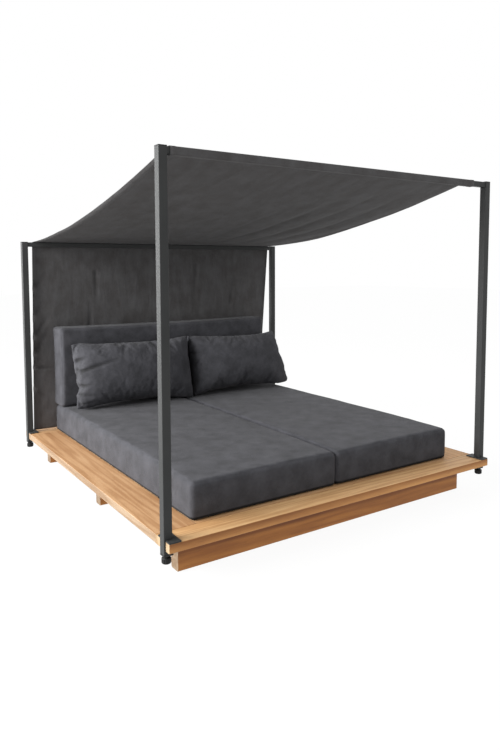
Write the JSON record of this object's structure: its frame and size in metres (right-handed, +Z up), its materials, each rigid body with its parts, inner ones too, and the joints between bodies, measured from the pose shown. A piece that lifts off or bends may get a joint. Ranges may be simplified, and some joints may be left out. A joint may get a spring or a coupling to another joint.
{
  "type": "outdoor daybed with canopy",
  "caption": "Low timber daybed platform with slim square posts, a sloping sling canopy that drops behind as a curtain, mattresses, a back cushion and pillows.",
  "frame": {"origin": "on the floor, under the centre of the object's bounding box", "axes": "+Z up, -Y towards the foot end where the canopy is high, +Y towards the back cushion, +X to the right as seen from the foot end"},
  "size_m": [2.1172, 2.24, 1.8333],
  "materials": {
    "teak": "satin",
    "coated_aluminium": "satin",
    "black_plastic": "matte",
    "sling_cloth": "matte",
    "cushion_cloth": "matte"
  },
  "bodies": {
    "platform": {"end_board_front": "teak", "end_board_rear": "teak", "side_board_left": "teak", "side_board_right": "teak", "deck_slat_1": "teak", "deck_slat_2": "teak", "deck_slat_3": "teak", "deck_slat_4": "teak", "deck_slat_5": "teak", "deck_slat_6": "teak", "deck_slat_7": "teak", "deck_slat_8": "teak", "deck_slat_9": "teak", "deck_slat_10": "teak", "deck_rail_1": "teak", "deck_rail_2": "teak", "deck_rail_3": "teak", "deck_rail_4": "teak", "bearer_1": "teak", "bearer_2": "teak", "bearer_3": "teak", "post_front_left": "coated_aluminium", "post_front_right": "coated_aluminium", "post_rear_left": "coated_aluminium", "post_rear_right": "coated_aluminium", "post_cap_front_left": "black_plastic", "post_cap_front_right": "black_plastic", "post_cap_rear_left": "black_plastic", "post_cap_rear_right": "black_plastic", "post_plug_front_left": "black_plastic", "post_plug_front_right": "black_plastic", "post_plug_rear_left": "black_plastic", "post_plug_rear_right": "black_plastic", "base_plate_front_left": "coated_aluminium", "base_plate_front_right": "coated_aluminium", "base_plate_rear_left": "coated_aluminium", "base_plate_rear_right": "coated_aluminium", "crossbar_front": "coated_aluminium", "crossbar_rear": "coated_aluminium", "bar_block_front_left": "black_plastic", "bar_block_front_right": "black_plastic", "bar_block_rear_left": "black_plastic", "bar_block_rear_right": "black_plastic", "canopy_cloth": "sling_cloth", "back_curtain": "sling_cloth"},
    "clamp_front_left": {"clamp_plate_front_left": "coated_aluminium"},
    "clamp_front_right": {"clamp_plate_front_right": "coated_aluminium"},
    "clamp_rear_left": {"clamp_plate_rear_left": "coated_aluminium"},
    "clamp_rear_right": {"clamp_plate_rear_right": "coated_aluminium"},
    "knob_front_left": {"clamp_knob_front_left": "black_plastic"},
    "knob_front_right": {"clamp_knob_front_right": "black_plastic"},
    "knob_rear_left": {"clamp_knob_rear_left": "black_plastic"},
    "knob_rear_right": {"clamp_knob_rear_right": "black_plastic"},
    "left_mattress": {"mattress_left": "cushion_cloth"},
    "right_mattress": {"mattress_right": "cushion_cloth"},
    "cushion_at_the_back": {"back_cushion": "cushion_cloth"},
    "left_pillow": {"pillow_left": "cushion_cloth"},
    "right_pillow": {"pillow_right": "cushion_cloth"}
  },
  "joints": [
    {"name": "clamp_slide_front_left", "type": "slide", "parent": "platform", "child": "clamp_front_left", "axis": [0, 0, -1], "range_m": [0, 0.0075]},
    {"name": "clamp_slide_front_right", "type": "slide", "parent": "platform", "child": "clamp_front_right", "axis": [0, 0, -1], "range_m": [0, 0.0075]},
    {"name": "clamp_slide_rear_left", "type": "slide", "parent": "platform", "child": "clamp_rear_left", "axis": [0, 0, -1], "range_m": [0, 0.0075]},
    {"name": "clamp_slide_rear_right", "type": "slide", "parent": "platform", "child": "clamp_rear_right", "axis": [0, 0, -1], "range_m": [0, 0.0075]},
    {"name": "knob_turn_front_left", "type": "hinge", "parent": "clamp_front_left", "child": "knob_front_left", "pos_m": [-1.038, -1.065, 0.13], "axis": [0, 0, -1], "range_deg": [0, 1800]},
    {"name": "knob_turn_front_right", "type": "hinge", "parent": "clamp_front_right", "child": "knob_front_right", "pos_m": [1.038, -1.065, 0.13], "axis": [0, 0, -1], "range_deg": [0, 1800]},
    {"name": "knob_turn_rear_left", "type": "hinge", "parent": "clamp_rear_left", "child": "knob_rear_left", "pos_m": [-1.038, 1.065, 0.13], "axis": [0, 0, -1], "range_deg": [0, 1800]},
    {"name": "knob_turn_rear_right", "type": "hinge", "parent": "clamp_rear_right", "child": "knob_rear_right", "pos_m": [1.038, 1.065, 0.13], "axis": [0, 0, -1], "range_deg": [0, 1800]},
    {"name": "mattress_left_slide", "type": "slide", "parent": "platform", "child": "left_mattress", "axis": [0, -1, 0], "range_m": [0, 0.12]},
    {"name": "mattress_right_slide", "type": "slide", "parent": "platform", "child": "right_mattress", "axis": [0, -1, 0], "range_m": [0, 0.12]},
    {"name": "back_cushion_lift", "type": "slide", "parent": "platform", "child": "cushion_at_the_back", "axis": [0, 0, 1], "range_m": [0, 0.3]},
    {"name": "pillow_left_lift", "type": "slide", "parent": "platform", "child": "left_pillow", "axis": [0, 0, 1], "range_m": [0, 0.3]},
    {"name": "pillow_right_lift", "type": "slide", "parent": "platform", "child": "right_pillow", "axis": [0, 0, 1], "range_m": [0, 0.3]}
  ],
  "couplings": [
    {"joint": "knob_turn_front_left", "follows": "clamp_slide_front_left", "rad_per_m": 4188.8},
    {"joint": "knob_turn_front_right", "follows": "clamp_slide_front_right", "rad_per_m": 4188.8},
    {"joint": "knob_turn_rear_left", "follows": "clamp_slide_rear_left", "rad_per_m": 4188.8},
    {"joint": "knob_turn_rear_right", "follows": "clamp_slide_rear_right", "rad_per_m": 4188.8}
  ]
}
